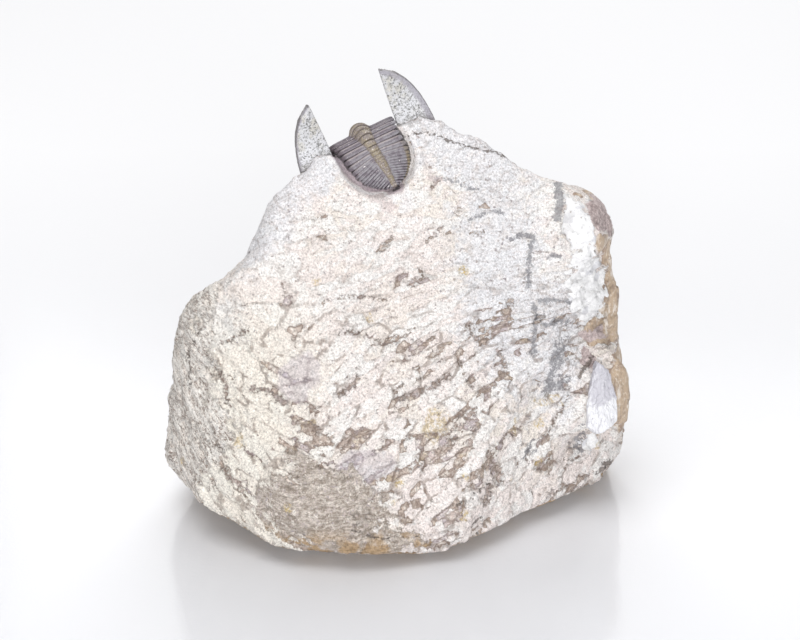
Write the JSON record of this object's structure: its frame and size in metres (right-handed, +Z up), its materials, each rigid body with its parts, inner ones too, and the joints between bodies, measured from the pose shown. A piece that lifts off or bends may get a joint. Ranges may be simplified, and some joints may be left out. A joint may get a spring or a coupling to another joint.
{
  "type": "fossil trilobite in matrix",
  "caption": "Trilobite fossil arched over the top edge of a chipped cream limestone block that stands on a flat base, its two long cheek prolongations free above the stone.",
  "frame": {"origin": "on the flat base, under the centre of the bounding box", "axes": "+Z up from the flat base, -Y towards the side on which the thorax and tail lie, +X to the right seen from that side"},
  "size_m": [0.083, 0.0454, 0.0806],
  "materials": {
    "matrix": "chipped cream and pinkish white limestone",
    "cephalon": "pitted grey fossil shell, slightly glossy",
    "thoracic_segment_01": "dark brown to grey purple fossil shell, satin",
    "thoracic_segment_02": "dark brown to grey purple fossil shell, satin",
    "thoracic_segment_03": "dark brown to grey purple fossil shell, satin",
    "thoracic_segment_04": "dark brown to grey purple fossil shell, satin",
    "thoracic_segment_05": "dark brown to grey purple fossil shell, satin",
    "thoracic_segment_06": "dark brown to grey purple fossil shell, satin",
    "thoracic_segment_07": "dark brown to grey purple fossil shell, satin",
    "thoracic_segment_08": "dark brown to grey purple fossil shell, satin",
    "thoracic_segment_09": "dark brown to grey purple fossil shell, satin",
    "thoracic_segment_10": "dark brown to grey purple fossil shell, satin",
    "thoracic_segment_11": "dark brown to grey purple fossil shell, satin",
    "thoracic_segment_12": "dark brown to grey purple fossil shell, satin",
    "thoracic_segment_13": "dark brown to grey purple fossil shell, satin",
    "thoracic_segment_14": "dark brown to grey purple fossil shell, satin",
    "thoracic_segment_15": "dark brown to grey purple fossil shell, satin",
    "thoracic_segment_16": "dark brown to grey purple fossil shell, satin",
    "thoracic_segment_17": "dark brown to grey purple fossil shell, satin",
    "thoracic_segment_18": "dark brown to grey purple fossil shell, satin",
    "thoracic_segment_19": "dark brown to grey purple fossil shell, satin",
    "thoracic_segment_20": "dark brown to grey purple fossil shell, satin",
    "thoracic_segment_21": "dark brown to grey purple fossil shell, satin",
    "thoracic_segment_22": "dark brown to grey purple fossil shell, satin",
    "thoracic_segment_23": "dark brown to grey purple fossil shell, satin",
    "thoracic_segment_24": "dark brown to grey purple fossil shell, satin",
    "thoracic_segment_25": "dark brown to grey purple fossil shell, satin",
    "thoracic_segment_26": "dark brown to grey purple fossil shell, satin",
    "thoracic_segment_27": "dark brown to grey purple fossil shell, satin",
    "thoracic_segment_28": "dark brown to grey purple fossil shell, satin",
    "pygidium": "grey purple fossil shell, satin"
  },
  "bodies": {
    "root": {"matrix": "matrix", "cephalon": "cephalon", "thoracic_segment_01": "thoracic_segment_01", "thoracic_segment_02": "thoracic_segment_02", "thoracic_segment_03": "thoracic_segment_03", "thoracic_segment_04": "thoracic_segment_04", "thoracic_segment_05": "thoracic_segment_05", "thoracic_segment_06": "thoracic_segment_06", "thoracic_segment_07": "thoracic_segment_07", "thoracic_segment_08": "thoracic_segment_08", "thoracic_segment_09": "thoracic_segment_09", "thoracic_segment_10": "thoracic_segment_10", "thoracic_segment_11": "thoracic_segment_11", "thoracic_segment_12": "thoracic_segment_12", "thoracic_segment_13": "thoracic_segment_13", "thoracic_segment_14": "thoracic_segment_14", "thoracic_segment_15": "thoracic_segment_15", "thoracic_segment_16": "thoracic_segment_16", "thoracic_segment_17": "thoracic_segment_17", "thoracic_segment_18": "thoracic_segment_18", "thoracic_segment_19": "thoracic_segment_19", "thoracic_segment_20": "thoracic_segment_20", "thoracic_segment_21": "thoracic_segment_21", "thoracic_segment_22": "thoracic_segment_22", "thoracic_segment_23": "thoracic_segment_23", "thoracic_segment_24": "thoracic_segment_24", "thoracic_segment_25": "thoracic_segment_25", "thoracic_segment_26": "thoracic_segment_26", "thoracic_segment_27": "thoracic_segment_27", "thoracic_segment_28": "thoracic_segment_28", "pygidium": "pygidium"}
  },
  "joints": []
}
